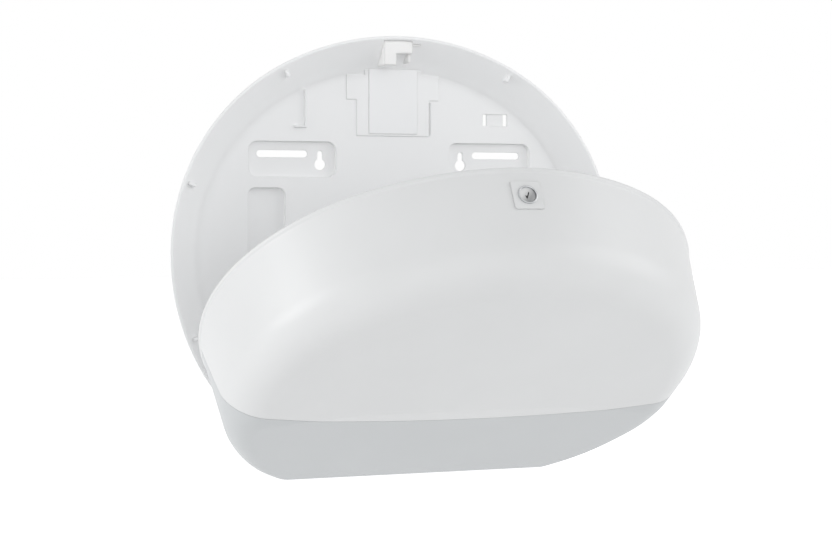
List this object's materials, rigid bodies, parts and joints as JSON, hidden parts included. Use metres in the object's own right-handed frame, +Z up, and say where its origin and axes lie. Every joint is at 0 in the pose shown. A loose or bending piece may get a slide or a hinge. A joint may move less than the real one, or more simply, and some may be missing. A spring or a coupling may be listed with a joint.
{
  "type": "jumbo toilet roll dispenser",
  "caption": "Wall mounted jumbo toilet roll dispenser with an arched cover hanging open from hinges at the bottom, a cam lock, a roll spindle and toothed paper exit.",
  "frame": {"origin": "on the wall plane behind the housing, at the centre line and at the height of the bottom edge of the closed body", "axes": "+X to the right seen from the front, +Y into the wall, +Z up"},
  "size_m": [0.437, 0.3526, 0.4024],
  "materials": {
    "white_plastic": "smooth satin gloss moulding",
    "grey_plastic": "smooth satin gloss moulding",
    "inner_plastic": "fine matt moulding",
    "label": "plain smooth sheet",
    "steel": "zinc plated and stainless steel",
    "lock_metal": "satin nickel plate"
  },
  "bodies": {
    "housing": {"back_plate": "white_plastic", "latch_keeper": "white_plastic", "label_panel": "label", "spindle_carrier": "inner_plastic", "carrier_screws": "steel", "spindle_axle": "steel", "spindle_washer": "steel", "spindle_screw": "steel", "brake_leaf": "steel", "bottom_frame": "inner_plastic", "frame_screws": "steel", "tear_bar_left": "steel", "tear_bar_right": "steel", "tear_bar_rivets": "steel", "hinge_pin_left": "steel", "hinge_pin_right": "steel"},
    "cover": {"cover_shell": "white_plastic", "lower_band": "grey_plastic", "hinge_arm_left": "inner_plastic", "hinge_arm_right": "inner_plastic", "arm_screws": "steel", "band_screws": "steel", "lock_bezel": "white_plastic", "lock_barrel": "lock_metal", "lock_washer": "steel", "lock_nut": "steel"},
    "lock": {"lock_plug": "lock_metal", "lock_cam": "steel", "cam_screw": "steel"},
    "spindle": {"roll_spindle": "inner_plastic"}
  },
  "joints": [
    {"name": "cover_hinge", "type": "hinge", "parent": "housing", "child": "cover", "pos_m": [0, -0.049, 0.017], "axis": [1, 0, 0], "range_deg": [-54, 0]},
    {"name": "lock_turn", "type": "hinge", "parent": "cover", "child": "lock", "pos_m": [0, -0.32827, 0.21001], "axis": [0, -0.8686, 0.4955], "range_deg": [0, 90]},
    {"name": "spindle_spin", "type": "hinge", "parent": "housing", "child": "spindle", "pos_m": [0, -0.06, 0.165], "axis": [0, 1, 0], "continuous": true}
  ]
}
